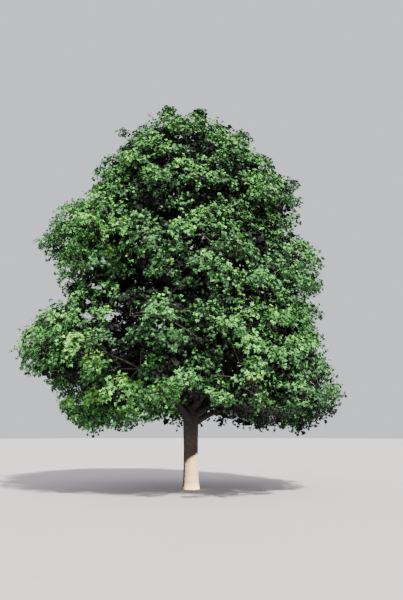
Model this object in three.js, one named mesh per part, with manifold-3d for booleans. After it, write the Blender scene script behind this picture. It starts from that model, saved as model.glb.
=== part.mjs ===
// A Norway maple in full summer leaf: one trunk, boughs that leave it in a spiral, and a broad egg-shaped crown.
// Millimetres, +Z up. The origin is the centre of the flat cut under the trunk, at ground level.
// In the front view +X is to the right and +Y points away from the viewer.

import * as THREE from "three";
import { mergeVertices } from "three/addons/utils/BufferGeometryUtils.js";
import Module from "manifold-3d";

const wasm = await Module();
wasm.setup();

// The trunk: how it tapers, leans and flares.
const TRUNK_TIP = 10700;
const TRUNK_LEAN = 260;
const TRUNK_SWAY = 90;
const TRUNK_TAPER = [
  { height: -60, radius: 254 },
  { height: 0, radius: 252 },
  { height: 350, radius: 236 },
  { height: 1300, radius: 230 },
  { height: 2200, radius: 246 },
  { height: 3200, radius: 196 },
  { height: 5200, radius: 142 },
  { height: 8000, radius: 88 },
  { height: TRUNK_TIP, radius: 40 },
];
const TRUNK_SIDES = 20;
const TRUNK_RINGS = 17;
const TRUNK_RING_CROWDING = 2.1;
const FLARE_DEPTH = 58;
const FLARE_HEIGHT = 210;
const FLARE_LOBES = 5;
const FLARE_TURN = 0.6;

// The crown is built in tiers from its lowest ring of foliage to its top. A tier's reach is measured from its middle
// to the outermost leaves, tilt is how far its masses lean back to lie along the crown's slope, turn is the bearing
// of the tier's first mass, both in degrees, and drift is how far the tier sits to the right of the trunk.
const TIERS = [
  { name: "lowest", height: 3130, count: 8, reach: 5020, width: 2060, rise: 1380, tilt: -8, turn: 22, drift: 200 },
  { name: "lower", height: 4980, count: 8, reach: 5150, width: 2080, rise: 1540, tilt: 6, turn: 180, drift: -640 },
  { name: "middle", height: 7550, count: 7, reach: 4660, width: 2200, rise: 1850, tilt: 12, turn: 178, drift: -360 },
  { name: "upper", height: 9800, count: 6, reach: 3700, width: 2000, rise: 1650, tilt: 32, turn: 12, drift: -60 },
  { name: "shoulder", height: 11350, count: 4, reach: 2400, width: 1850, rise: 1500, tilt: 50, turn: 40, drift: -220 },
  { name: "top", height: 12980, count: 1, reach: 0, width: 1450, rise: 1450, tilt: 90, turn: 0, drift: -300 },
];
const MASS_DEPTH = 1050;
const HEIGHT_SPREAD = 420;
const REACH_SPREAD = 360;
const SIZE_SPREAD = 0.16;

// Boughs leave the trunk below the tier that they carry, each from its own height.
const BOUGH_TIERS = {
  lowest: { rootHeight: 1980, rootSpread: 760 },
  lower: { rootHeight: 3000, rootSpread: 1000 },
  middle: { rootHeight: 4650, rootSpread: 1250 },
};
const BOUGH_SIDES = 6;
const BOUGH_RINGS = 4;
const BOUGH_ARCH = 0.1;
const BOUGH_TIP_RADIUS = 32;
const BOUGH_SLENDERNESS = 0.0185;
const BOUGH_ENTRY = 0.8;
const COLLAR_SWELL = 0.4;
const COLLAR_LENGTH = 130;

// Inside a mass: a stem to its heart, twigs that fan from there towards the outside of the crown, and a hanging leaf on
// each. A leaf stands for a whole spray, because true leaves would number tens of thousands.
const TWIGS_PER_MASS = 10;
const TWIG_SPREAD = 108;
const TWIG_REACH = 0.77;
const TWIG_RADIUS = 24;
const STEM_RADIUS = 30;
const STEM_OVERRUN = 0.2;
const STEM_DROP = 900;
const TWIG_TAPER = 0.4;
const LEAF_HANGS = [35, 26, 18];
const LEAF_SWAY = 70;
const LEAF_REACH = 0.985;
const LEAF_WIDTH_SHARE = 0.9;
const LEAF_THICKNESS_SHARE = 0.07;
const LEAF_WIDEST = 0.05;
const LEAF_ROOT_SHARE = 0.14;
const CORE_SHARE = new THREE.Vector3(0.42, 0.7, 0.72);
const CORE_SHIFT = 0.04;
const CORE_LUMPS = 0.26;
const CORE_WAVES = 8;
const CORE_LIMIT = 0.97;

// Fits
const TOUCH_GAP = 0.3;
const SPACE_GAP = 12;
const LIMB_GAP = 15;

const GOLDEN_ANGLE = Math.PI * (3 - Math.sqrt(5));
const GOLDEN_SHARE = (Math.sqrt(5) - 1) / 2;
const UP = new THREE.Vector3(0, 0, 1);

const barkMaterial = new THREE.MeshStandardMaterial({ color: 0x5d554a, roughness: 0.92, metalness: 0 });
const foliageMaterial = new THREE.MeshStandardMaterial({ color: 0x3f6a2c, roughness: 0.6, metalness: 0 });

// Repeatable numbers from 0 to 1, the same for the same seed in any language.
function seededRandom(seed) {
  let state = seed >>> 0;
  return () => {
    state = (state + 0x6d2b79f5) >>> 0;
    let mixed = Math.imul(state ^ (state >>> 15), state | 1);
    mixed ^= mixed + Math.imul(mixed ^ (mixed >>> 7), mixed | 61);
    return ((mixed ^ (mixed >>> 14)) >>> 0) / 4294967296;
  };
}

const between = (random, low, high) => low + (high - low) * random();
const share = (value) => value - Math.floor(value);

// A closed geometry as a solid that can be joined and cut.
function solidFrom(geometry) {
  const bare = geometry.clone();
  bare.deleteAttribute("normal");
  bare.deleteAttribute("uv");
  const merged = mergeVertices(bare, 1e-3);
  return new wasm.Manifold(
    new wasm.Mesh({
      numProp: 3,
      vertProperties: merged.attributes.position.array,
      triVerts: new Uint32Array(merged.index.array),
    }),
  );
}

function geometryFrom(solid) {
  const mesh = solid.getMesh();
  const geometry = new THREE.BufferGeometry();
  geometry.setAttribute("position", new THREE.BufferAttribute(mesh.vertProperties, 3));
  geometry.setIndex(new THREE.BufferAttribute(mesh.triVerts, 1));
  geometry.computeVertexNormals();
  return geometry;
}

// The largest body of a solid: a cut can leave loose scraps, which are dropped.
function largestBody(solid) {
  return solid.decompose().reduce((best, body) => (body.volume() > best.volume() ? body : best));
}

// A limb: a cylinder bent along a curve, with its radius given at each share of its length and each angle round it.
// Its rings crowd towards the root where crowding is over 1. Growth makes it thicker and longer all over, for the gap
// that its neighbours are cut to.
function limbSolid({ curve, aside, radiusAt, sides, rings, crowding = 1, growth = 0 }) {
  const geometry = new THREE.CylinderGeometry(1, 1, 1, sides, rings);
  const position = geometry.getAttribute("position");
  const point = new THREE.Vector3();
  for (let i = 0; i < position.count; i++) {
    const ring = Math.round((position.getY(i) + 0.5) * rings);
    const along = (ring / rings) ** crowding;
    const radius = radiusAt(along, Math.atan2(position.getZ(i), position.getX(i))) + growth;
    const overrun = growth * ((ring === rings) - (ring === 0));
    const tangent = curve.getTangentAt(along);
    const over = new THREE.Vector3().crossVectors(aside, tangent).normalize();
    point
      .copy(curve.getPointAt(along))
      .addScaledVector(tangent, overrun)
      .addScaledVector(aside, position.getX(i) * radius)
      .addScaledVector(over, position.getZ(i) * radius);
    position.setXYZ(i, point.x, point.y, point.z);
  }
  return solidFrom(geometry);
}

// The middle line of the trunk, from just under the ground to its tip.
class TrunkLine extends THREE.Curve {
  getPoint(along, target = new THREE.Vector3()) {
    return trunkPoint(THREE.MathUtils.lerp(TRUNK_TAPER[0].height, TRUNK_TIP, along), target);
  }
}

function trunkPoint(height, target = new THREE.Vector3()) {
  const rise = Math.max(height, 0) / TRUNK_TIP;
  return target.set(-TRUNK_LEAN * rise * rise, TRUNK_SWAY * rise * Math.sin(2 * Math.PI * rise), height);
}

function trunkRadius(height) {
  const above = TRUNK_TAPER.findIndex((step) => step.height >= height);
  if (above < 1) return TRUNK_TAPER.at(above).radius;
  const [low, high] = [TRUNK_TAPER[above - 1], TRUNK_TAPER[above]];
  return THREE.MathUtils.mapLinear(height, low.height, high.height, low.radius, high.radius);
}

// The roots' swelling round the foot of the trunk, in rounded lobes.
function flareAt(height, angle) {
  const lobe = 0.55 + 0.45 * Math.cos(FLARE_LOBES * angle + FLARE_TURN);
  return FLARE_DEPTH * lobe * Math.exp(-Math.max(height, 0) / FLARE_HEIGHT);
}

function trunkSolid(growth = 0) {
  const curve = new TrunkLine();
  const radiusAt = (along, angle) => {
    const height = curve.getPointAt(along).z;
    return trunkRadius(height) + flareAt(height, angle);
  };
  const shape = { sides: TRUNK_SIDES, rings: TRUNK_RINGS, crowding: TRUNK_RING_CROWDING, growth };
  const whole = limbSolid({ curve, aside: new THREE.Vector3(1, 0, 0), radiusAt, ...shape });
  const ground = new THREE.BoxGeometry(4000, 4000, 1000).translate(0, 0, -500);
  return whole.subtract(solidFrom(ground));
}

// The masses of one tier, set round its middle with seeded differences in height, reach and size. Each has its own
// axes: one out of the crown, one round it and one up along the crown's slope.
function massesOf(tier, tierIndex) {
  return Array.from({ length: tier.count }, (_, place) => {
    const seed = 100 * (tierIndex + 1) + place;
    const random = seededRandom(seed);
    const spread = tier.reach ? 1 : 0;
    const size = 1 + between(random, -0.5, 0.5) * SIZE_SPREAD * spread;
    const reach = tier.reach + between(random, -0.5, 0.5) * REACH_SPREAD * spread;
    const height = tier.height + between(random, -0.5, 0.5) * HEIGHT_SPREAD * spread;
    const bearing = THREE.MathUtils.degToRad(tier.turn + (360 * place) / tier.count);
    const tilt = THREE.MathUtils.degToRad(tier.tilt);
    const level = new THREE.Vector3(Math.cos(bearing), Math.sin(bearing), 0);
    const outward = level.clone().multiplyScalar(Math.cos(tilt)).addScaledVector(UP, Math.sin(tilt));
    const round = new THREE.Vector3().crossVectors(UP, level);
    const along = new THREE.Vector3().crossVectors(outward, round);
    const tip = level.clone().multiplyScalar(reach).add(new THREE.Vector3(tier.drift, 0, height));
    return {
      name: `${tier.name}_${place + 1}`,
      tier: tier.name,
      place,
      seed,
      axes: new THREE.Matrix4().makeBasis(outward, round, along),
      radii: new THREE.Vector3(MASS_DEPTH, tier.width * size, tier.rise * size),
      centre: tip.addScaledVector(outward, -MASS_DEPTH),
    };
  });
}

// From a mass's own axes, in shares of its radii, to the tree's axes, and a direction the other way.
const fromMassAxes = (mass, point) => point.clone().multiply(mass.radii).applyMatrix4(mass.axes);
const toMassAxes = (mass, direction) => direction.clone().applyMatrix4(mass.axes.clone().transpose());

// How far a mass's ellipsoid reaches from its centre along a direction's plane.
const supportOf = (mass, direction) => toMassAxes(mass, direction).multiply(mass.radii).length();

// The planes that part a mass's space from its neighbours': each lies where their reaches towards each other meet.
function wallsOf(mass, masses) {
  return masses
    .filter((other) => other !== mass)
    .map((other) => {
      const direction = other.centre.clone().sub(mass.centre);
      const distance = direction.length();
      direction.normalize();
      const [own, theirs] = [supportOf(mass, direction), supportOf(other, direction)];
      return { direction, distance: (distance * own) / (own + theirs), parts: distance < own + theirs };
    })
    .filter((wall) => wall.parts);
}

// How far a mass's space goes from its centre in one direction: to its ellipsoid, or to the first wall.
function reachOf(mass, direction) {
  const open = 1 / toMassAxes(mass, direction).divide(mass.radii).length();
  return mass.walls.reduce((reach, wall) => {
    const facing = direction.dot(wall.direction);
    return facing > 0 ? Math.min(reach, (wall.distance - SPACE_GAP) / facing) : reach;
  }, open);
}

function keepsToSpace(mass, point) {
  const offset = point.clone().sub(mass.centre);
  return offset.length() <= reachOf(mass, offset.clone().normalize());
}

// The line of a bough: up and out of the trunk's middle, arching over to where it enters its mass.
function boughLine(mass) {
  const { rootHeight, rootSpread } = BOUGH_TIERS[mass.tier];
  const root = trunkPoint(rootHeight + rootSpread * share(mass.place * GOLDEN_SHARE));
  const elbow = root.clone().lerp(mass.centre, 0.5).addScaledVector(UP, BOUGH_ARCH * root.distanceTo(mass.centre));
  const inward = elbow.clone().sub(mass.centre).normalize();
  const tip = mass.centre.clone().addScaledVector(inward, BOUGH_ENTRY * supportOf(mass, inward));
  return new THREE.QuadraticBezierCurve3(root, elbow, tip);
}

function boughSolid(line, trunkSurface, growth = 0) {
  const length = line.getLength();
  const rootRadius = BOUGH_TIP_RADIUS + BOUGH_SLENDERNESS * length;
  const radiusAt = (along) => {
    const clear = Math.max(along * length - trunkSurface, 0);
    const collar = 1 + COLLAR_SWELL * Math.exp(-clear / COLLAR_LENGTH);
    return THREE.MathUtils.lerp(rootRadius, BOUGH_TIP_RADIUS, along) * collar;
  };
  const aside = new THREE.Vector3().crossVectors(UP, line.v2.clone().sub(line.v0)).normalize();
  return limbSolid({ curve: line, aside, radiusAt, sides: BOUGH_SIDES, rings: BOUGH_RINGS, growth });
}

// A tapering stem or twig from one point to another.
function twigSolid(from, to, radius, sides = 3) {
  const direction = to.clone().sub(from);
  const geometry = new THREE.CylinderGeometry(TWIG_TAPER * radius, radius, direction.length(), sides, 1);
  geometry.rotateX(Math.PI / 2).translate(0, 0, direction.length() / 2);
  geometry.applyQuaternion(new THREE.Quaternion().setFromUnitVectors(UP, direction.normalize()));
  return solidFrom(geometry.translate(from.x, from.y, from.z));
}

// A leaf: a flat eight-faced blade with its tip at one point, and its root sunk a little behind another.
function leafBlade(root, tip, facing) {
  const direction = tip.clone().sub(root);
  const length = direction.length() / (1 - LEAF_ROOT_SHARE);
  direction.normalize();
  const across = new THREE.Vector3().crossVectors(facing, direction).normalize();
  const face = new THREE.Vector3().crossVectors(direction, across);
  const geometry = new THREE.OctahedronGeometry(1);
  const position = geometry.getAttribute("position");
  for (let i = 0; i < position.count; i++) {
    if (Math.abs(position.getX(i)) < 0.5) position.setX(i, LEAF_WIDEST);
  }
  geometry.scale(length / 2, (LEAF_WIDTH_SHARE * length) / 2, (LEAF_THICKNESS_SHARE * length) / 2);
  geometry.translate(-length / 2, 0, 0);
  return geometry.applyMatrix4(new THREE.Matrix4().makeBasis(direction, across, face).setPosition(tip));
}

const cornersOf = (geometry) => {
  const position = geometry.getAttribute("position");
  return Array.from({ length: position.count }, (_, i) => new THREE.Vector3().fromBufferAttribute(position, i));
};

// The leaf at the end of a twig, if one fits. It hangs over to the outside and a little to one side, with its tip at
// the edge of the mass's space. A leaf that would leave the space is tried smaller.
function hangingLeaf(mass, twigEnd, span, random) {
  const below = toMassAxes(mass, UP).negate();
  below.addScaledVector(span, -below.dot(span));
  if (below.lengthSq() < 1e-6) below.set(0, 0, -1);
  const sway = THREE.MathUtils.degToRad(LEAF_SWAY) * between(random, -0.5, 0.5);
  const heading = below.normalize().applyAxisAngle(span, sway);
  const facing = span.clone().divide(mass.radii).applyMatrix4(mass.axes).normalize();
  const sizes = LEAF_HANGS.map((degrees) => {
    const hang = THREE.MathUtils.degToRad(degrees);
    const opened = span.clone().multiplyScalar(Math.cos(hang)).addScaledVector(heading, Math.sin(hang));
    const direction = fromMassAxes(mass, opened).normalize();
    const tip = mass.centre.clone().addScaledVector(direction, LEAF_REACH * reachOf(mass, direction));
    return leafBlade(twigEnd, tip, facing);
  });
  return sizes.find((leaf) => cornersOf(leaf).every((corner) => keepsToSpace(mass, corner)));
}

// The lumpy heart of a dense mass, which the leaves stand out of.
function coreSolid(mass) {
  const random = seededRandom(mass.seed + 7000);
  const phases = Array.from({ length: 3 }, () => between(random, 0, 2 * Math.PI));
  const geometry = new THREE.IcosahedronGeometry(1, 1);
  const position = geometry.getAttribute("position");
  const point = new THREE.Vector3();
  for (let i = 0; i < position.count; i++) {
    point.fromBufferAttribute(position, i);
    const waves = point.toArray().map((value, axis) => Math.sin(CORE_WAVES * value + phases[axis]));
    const lumps = 1 + (CORE_LUMPS / 3) * (waves[0] + waves[1] + waves[2]);
    point.multiplyScalar(lumps).multiply(CORE_SHARE);
    point.x += CORE_SHIFT;
    point.copy(fromMassAxes(mass, point));
    point.clampLength(0, CORE_LIMIT * reachOf(mass, point.clone().normalize()));
    point.add(mass.centre);
    position.setXYZ(i, point.x, point.y, point.z);
  }
  return solidFrom(geometry);
}

// Where the twigs of a mass point, on a unit sphere: a golden-angle spiral from the outward axis to beyond the rim.
function twigSpans(random) {
  const turn = between(random, 0, 2 * Math.PI);
  const lowest = Math.cos(THREE.MathUtils.degToRad(TWIG_SPREAD));
  return Array.from({ length: TWIGS_PER_MASS }, (_, k) => {
    const out = 1 - (1 - lowest) * ((k + 0.5) / TWIGS_PER_MASS);
    const aside = Math.sqrt(1 - out * out);
    const bearing = turn + k * GOLDEN_ANGLE + between(random, -0.25, 0.25);
    return new THREE.Vector3(out, aside * Math.cos(bearing), aside * Math.sin(bearing));
  });
}

// One mass of foliage: core, stem, twigs and leaves fused into one solid that keeps to its space and off the limbs.
function massSolid(mass, entry, limbs) {
  const random = seededRandom(mass.seed + 3000);
  const near = limbs.filter((limb) => limb.box.intersectsBox(mass.box)).map((limb) => limb.grown);
  const clearOfLimbs = (solid) => near.every((limb) => solid.intersect(limb).isEmpty());
  const heart = mass.centre;
  const stem = twigSolid(entry, heart.clone().lerp(entry, -STEM_OVERRUN), STEM_RADIUS, 5);
  const pieces = [mass.tier in BOUGH_TIERS ? stem : stem.subtract(limbs[0].cut)];
  for (const span of twigSpans(random)) {
    const twigEnd = heart.clone().addScaledVector(fromMassAxes(mass, span), TWIG_REACH);
    const leaf = hangingLeaf(mass, twigEnd, span, random);
    if (!leaf || !keepsToSpace(mass, twigEnd)) continue;
    const spray = [twigSolid(heart, twigEnd, TWIG_RADIUS), solidFrom(leaf)];
    if (spray.every(clearOfLimbs)) pieces.push(...spray);
  }
  const core = near.reduce((rest, limb) => rest.subtract(limb), coreSolid(mass));
  return largestBody(pieces.reduce((joined, piece) => joined.add(piece), core));
}

// A named mesh whose own origin is at its anchor.
function placed(name, solid, anchor, material) {
  const mesh = new THREE.Mesh(geometryFrom(solid).translate(-anchor.x, -anchor.y, -anchor.z), material);
  mesh.name = name;
  mesh.position.copy(anchor);
  return mesh;
}

const boxOf = (solid) => {
  const { min, max } = solid.boundingBox();
  return new THREE.Box3(new THREE.Vector3(...min), new THREE.Vector3(...max));
};

const tree = new THREE.Group();
const wood = new THREE.Group();
const crown = new THREE.Group();
tree.add(wood, crown);

const trunk = trunkSolid();
wood.add(placed("trunk", trunk, new THREE.Vector3(), barkMaterial));
const limbs = [{ cut: trunkSolid(TOUCH_GAP), grown: trunkSolid(LIMB_GAP), box: boxOf(trunk) }];

const masses = TIERS.flatMap(massesOf);
for (const mass of masses) {
  mass.walls = wallsOf(mass, masses);
  mass.box = new THREE.Box3().setFromCenterAndSize(mass.centre, new THREE.Vector3().setScalar(2 * mass.radii.y));
}

// Boughs, each cut to the trunk's surface and to the boughs already in place.
for (const mass of masses.filter((one) => one.tier in BOUGH_TIERS)) {
  const line = boughLine(mass);
  const trunkSurface = trunkRadius(line.v0.z);
  const shaped = (growth) => boughSolid(line, trunkSurface, growth);
  const solid = largestBody(limbs.reduce((rest, limb) => rest.subtract(limb.cut), shaped(0)));
  mass.entry = line.v2.clone().addScaledVector(line.getTangentAt(1), TOUCH_GAP);
  limbs.push({ cut: shaped(TOUCH_GAP), grown: shaped(LIMB_GAP), box: boxOf(solid) });
  wood.add(placed(`bough_${mass.name}`, solid, line.v0, barkMaterial));
}

// Masses of foliage. Those with no bough of their own grow straight from the trunk.
for (const mass of masses) {
  const entry = mass.entry ?? trunkPoint(Math.min(mass.centre.z - STEM_DROP, TRUNK_TIP));
  const grown = massSolid(mass, entry, limbs);
  crown.add(placed(`foliage_${mass.name}`, grown, mass.centre, foliageMaterial));
}

export default tree;
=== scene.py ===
"""The looks of a Norway maple in summer leaf: furrowed bark, fine twigs and sprays of lobed leaves.

The crown grows by the same rule as the part's solids and carries it on to finer twigs. Lengths are in metres
and angles in degrees. +Z is up, +X is right in the front view and +Y points away from the viewer.
"""

import math

import bpy
import numpy as np
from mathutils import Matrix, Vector


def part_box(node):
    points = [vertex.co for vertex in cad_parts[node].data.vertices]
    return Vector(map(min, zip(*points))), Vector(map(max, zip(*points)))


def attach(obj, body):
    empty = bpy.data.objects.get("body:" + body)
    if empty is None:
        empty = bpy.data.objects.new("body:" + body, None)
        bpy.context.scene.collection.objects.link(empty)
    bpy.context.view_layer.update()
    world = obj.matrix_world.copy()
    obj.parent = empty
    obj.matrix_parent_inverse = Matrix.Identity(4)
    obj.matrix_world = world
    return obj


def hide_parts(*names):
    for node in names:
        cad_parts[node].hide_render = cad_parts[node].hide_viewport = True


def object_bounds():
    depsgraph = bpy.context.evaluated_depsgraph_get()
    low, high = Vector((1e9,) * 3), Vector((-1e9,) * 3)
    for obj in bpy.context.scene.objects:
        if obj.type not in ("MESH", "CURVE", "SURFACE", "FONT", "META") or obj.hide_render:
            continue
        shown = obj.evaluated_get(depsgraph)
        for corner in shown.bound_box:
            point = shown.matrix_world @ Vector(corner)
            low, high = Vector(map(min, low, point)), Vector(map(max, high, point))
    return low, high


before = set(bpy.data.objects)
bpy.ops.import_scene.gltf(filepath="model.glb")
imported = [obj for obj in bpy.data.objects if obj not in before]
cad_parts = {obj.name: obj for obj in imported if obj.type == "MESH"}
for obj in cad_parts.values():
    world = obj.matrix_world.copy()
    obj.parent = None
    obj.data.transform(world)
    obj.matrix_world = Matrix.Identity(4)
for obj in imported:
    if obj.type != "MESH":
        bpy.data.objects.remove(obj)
frame_low, frame_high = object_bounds()

# The trunk: how high it goes, how far its tip leans to the left, and how far it sways back and forth
TRUNK_TIP = 10.7
TRUNK_LEAN = 0.26
TRUNK_SWAY = 0.09
# Its radius at each of these heights
TAPER_HEIGHTS = [-0.06, 0.0, 0.35, 1.3, 2.2, 3.2, 5.2, 8.0, TRUNK_TIP]
TAPER_RADII = [0.254, 0.252, 0.236, 0.23, 0.246, 0.196, 0.142, 0.088, 0.04]
# The flare at its foot, and its rounded lobes, which take it in and out by a share of its depth
FLARE_DEPTH = 0.03
FLARE_HEIGHT = 0.21
FLARE_LOBES = 5
FLARE_TURN = 0.6
FLARE_LOBING = 0.45

# The crown's tiers, from the lowest ring of foliage to the top. A tier's reach is from its middle to its
# outermost leaves, tilt is how far its masses lean back along the crown's slope, turn is the bearing of
# its first mass, and drift is how far it sits to the right of the trunk.
TIERS = {
    "lowest": {"height": 3.13, "count": 8, "reach": 5.02, "width": 2.06, "rise": 1.38,
               "tilt": -8, "turn": 22, "drift": 0.2},
    "lower": {"height": 4.98, "count": 8, "reach": 5.15, "width": 2.08, "rise": 1.54,
              "tilt": 6, "turn": 180, "drift": -0.64},
    "middle": {"height": 7.55, "count": 7, "reach": 4.66, "width": 2.2, "rise": 1.85,
               "tilt": 12, "turn": 178, "drift": -0.36},
    "upper": {"height": 9.8, "count": 6, "reach": 3.7, "width": 2.0, "rise": 1.65,
              "tilt": 32, "turn": 12, "drift": -0.06},
    "shoulder": {"height": 11.35, "count": 4, "reach": 2.4, "width": 1.85, "rise": 1.5,
                 "tilt": 50, "turn": 40, "drift": -0.22},
    "top": {"height": 12.98, "count": 1, "reach": 0, "width": 1.45, "rise": 1.45,
            "tilt": 90, "turn": 0, "drift": -0.3},
}
# The pieces that the foliage is joined into, each with its tiers
REGIONS = {
    "lowest": ["lowest"],
    "lower": ["lower"],
    "middle": ["middle"],
    "upper": ["upper"],
    "top": ["shoulder", "top"],
}
# Half the depth of a mass, how far masses differ in height, reach and size, and the step between tiers' seeds
MASS_DEPTH = 1.05
HEIGHT_SPREAD = 0.42
REACH_SPREAD = 0.36
SIZE_SPREAD = 0.16
TIER_SEEDS = 100
# Half the space between two masses
SPACE_GAP = 0.012

# Boughs: where they leave the trunk, how they arch and taper, how far out in their mass they end, and the
# collar where they leave the trunk
BOUGH_TIERS = {
    "lowest": {"root_height": 1.98, "root_spread": 0.76},
    "lower": {"root_height": 3.0, "root_spread": 1.0},
    "middle": {"root_height": 4.65, "root_spread": 1.25},
}
BOUGH_ARCH = 0.1
BOUGH_TIP_RADIUS = 0.032
BOUGH_SLENDERNESS = 0.0185
BOUGH_ENTRY = 0.8
COLLAR_SWELL = 0.4
COLLAR_LENGTH = 0.13
BOUGH_SIDES = 16
BOUGH_RINGS = 24

# Stems: how far they run on past the mass's heart, and how far below it they leave the trunk
STEM_OVERRUN = 0.2
STEM_DROP = 0.9

# Each kind of twig: its sag as a share of its length, its radius at both ends, and its rings and sides
TWIG_KINDS = {
    "stem": (0.0, 0.03, 0.012, 5, 7),
    "mains": (-0.06, 0.02, 0.008, 5, 5),
    "laterals": (-0.1, 0.01, 0.006, 4, 3),
    "branchlets": (-0.05, 0.006, 0.003, 2, 3),
    "shoots": (0.05, 0.004, 0.0, 2, 3),
}

# The main twigs of each mass: how many, how far round they spread in their spiral and sway off it, and the
# step from the mass's seed to theirs
TWIGS_PER_MASS = 10
TWIG_SPREAD = 108
TWIG_SWAY = 0.25
TWIG_SEEDS = 3000
# How far out they reach, as a share of the mass's radii, and how far they stop short of its walls. Those that
# end less deep inside the crown than TWIG_DEPTH are drawn back a cut at a time.
TWIG_REACH = 0.77
TWIG_CLEARANCE = 0.25
SHORTEST_TWIG = 0.2
TWIG_DEPTH = 0.5
TWIG_CUTS = 8
# Where side twigs may leave a main twig or a limb, in shares of its length
FIRST_FORK = 0.2
LAST_FORK = 0.95

# Clumps: small umbrellas of leafy shoots that branch from the main twigs. Open ones cover a mass, hidden ones
# close it where it meets its neighbours and on its inner side, and shade ones grow inside the crown along the
# limbs. Light is painted light above 0 and painted shade below 0, in steps of LEAF_GREENS: the hidden and
# shade kinds are painted far darker for the shade deep in the crown. Margin is how far leaves may stand out
# of the crown's outline.
CLUMP_KINDS = {
    "open": {"radius": 0.5, "shoots": 25, "hubs": 3, "leaf": 0.092, "light": 0.3, "margin": 0.25},
    "hidden": {"radius": 0.66, "shoots": 10, "hubs": 2, "leaf": 0.15, "light": -3.1, "margin": -0.2},
    "shade": {"radius": 0.9, "shoots": 11, "hubs": 2, "leaf": 0.18, "light": -3.2, "margin": -0.75},
}
RADIUS_SPREAD = 0.26
# How far a clump opens upward and how far outward, how far round its shoots spread, and how it is flattened
# and droops at the rim
CLUMP_RISE = 0.8
CLUMP_LEAN = 0.5
CLUMP_SPREAD = 108
CLUMP_SQUASH = 0.7
CLUMP_DROOP = 0.18
# Shoots: how long, in shares of the clump's radius, how many are longer and by how much, how far they sway,
# and how far they stop short of where leaves may be
SHORTEST_SHOOT = 0.75
LONGEST_SHOOT = 1.08
LONG_SHOOTS = 0.13
LONG_SHOOT = 1.42
SHOOT_SWAY = 0.15
SHOOT_MARGIN = 0.12
# The hubs that its shoots part from, and how far below its middle its side twig forks
HUB_SPREAD = 0.7 * CLUMP_SPREAD
HUB_TURN = 0.4
HUB_REACH = 0.4
FORK_DEPTH = 0.35
# Where a mass has clumps of its own: how many places, how far round, and how much each may sit further in
CLUMPS_PER_MASS = 20
CLUMP_REGION = 142
CLUMP_TURN = 1.3
CLUMP_SETBACK = 0.4
# Hidden clumps: how far past a mass's edge its neighbour is looked for, how far inward its inner side faces,
# how near the heart they come, how deep in the crown they sit and how far they may be drawn in for that
OPEN_STEP = 0.45
INNER_LEAN = -0.25
HEART_CLEARANCE = 0.15
HIDDEN_DEPTH = 0.62
HIDDEN_SHIFT = 1.2
# Shade clumps: where they stand along the limb, how far to the side and above it, less above the lowest
# limbs, how they lean up, and how deep in the crown they stay
SHADE_SHARES = [0.26, 0.46, 0.68, 0.9]
SHADE_ASIDE = 0.6
SHADE_LIFT = 0.3
LOWEST_SHADE_LIFT = 0.1
SHADE_LEAN = 0.4
SHADE_DEPTH = 0.4

# The crown's outline in the front view, and its depth: height, reach to the left, to the right and to the
# front. Its surface is worked out in even steps of height.
CROWN_PROFILE = [
    (1.7, 3.2, 3.7, 3.8), (2.2, 3.8, 4.3, 4.4), (2.6, 4.05, 4.6, 4.65), (3.1, 4.3, 4.85, 4.75),
    (3.4, 5.0, 4.75, 4.85), (4.1, 5.75, 4.6, 4.95), (4.9, 5.6, 4.4, 4.9), (5.5, 4.95, 4.3, 4.75),
    (5.8, 4.3, 4.2, 4.65), (6.9, 4.4, 4.3, 4.45), (7.5, 4.9, 4.35, 4.35), (8.15, 5.15, 3.75, 4.15),
    (8.6, 4.75, 3.5, 3.95), (9.0, 4.38, 3.68, 3.85), (9.8, 3.4, 3.6, 3.45), (10.3, 3.3, 3.35, 3.1),
    (10.7, 3.28, 2.9, 2.85), (11.1, 2.9, 2.5, 2.5), (11.8, 2.45, 1.8, 1.85), (12.1, 1.95, 1.1, 1.45),
    (12.5, 1.6, 0.75, 1.1), (12.95, 1.05, 0.3, 0.65), (13.15, 0.5, -0.05, 0.2),
]
PROFILE_STEPS = 400

# Where the front view shows foliage that stands forward in the light, and hollows between: pixels across and
# down in the photo's frame of 403 by 600, how far it spreads in pixels, and a tint in steps of LEAF_GREENS,
# which is painted light on a bulge and painted shade in a hollow. The back of the crown is given the same.
FRONT_BULGES = [
    (182, 114, 12, 0.5), (136, 150, 17, 0.9), (165, 165, 18, 0.4), (202, 169, 13, 0.2), (232, 145, 14, 0.4),
    (266, 188, 13, 0.5), (287, 198, 12, 0.2), (88, 218, 22, 0.8), (188, 222, 18, 0.1), (205, 253, 12, 0.1),
    (264, 280, 15, 0.5), (254, 244, 12, 0.9), (292, 216, 10, 0.1), (305, 274, 15, 0.3), (161, 318, 16, 0.3),
    (226, 320, 13, 0.2), (282, 319, 22, 0.9), (254, 349, 14, 0.9), (292, 359, 17, 0.8), (66, 340, 24, 0.5),
    (110, 386, 17, 1.4), (132, 400, 16, 1.4), (148, 412, 14, 0.8), (84, 408, 13, 0.8), (112, 408, 11, 0.6),
    (178, 382, 15, 0.1), (195, 243, 10, 1.0), (172, 404, 12, 0.6), (264, 403, 12, 0.5), (304, 394, 13, -0.2),
    (227, 401, 10, 0.9), (290, 364, 13, 0.5), (66, 254, 14, 0.3), (250, 206, 10, 0.4), (106, 221, 13, 0.5),
    (120, 166, 12, 0.5), (145, 232, 12, 0.6), (266, 300, 14, 0.8), (242, 280, 11, 0.5), (186, 158, 12, 0.8),
    (300, 348, 12, 0.6), (136, 411, 12, 1.0), (70, 361, 13, 0.9), (222, 394, 8, 1.0), (262, 396, 9, 0.8),
    (300, 404, 9, 0.6), (282, 366, 14, 0.8), (150, 156, 10, 0.5), (98, 374, 13, 0.8),
]
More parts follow.
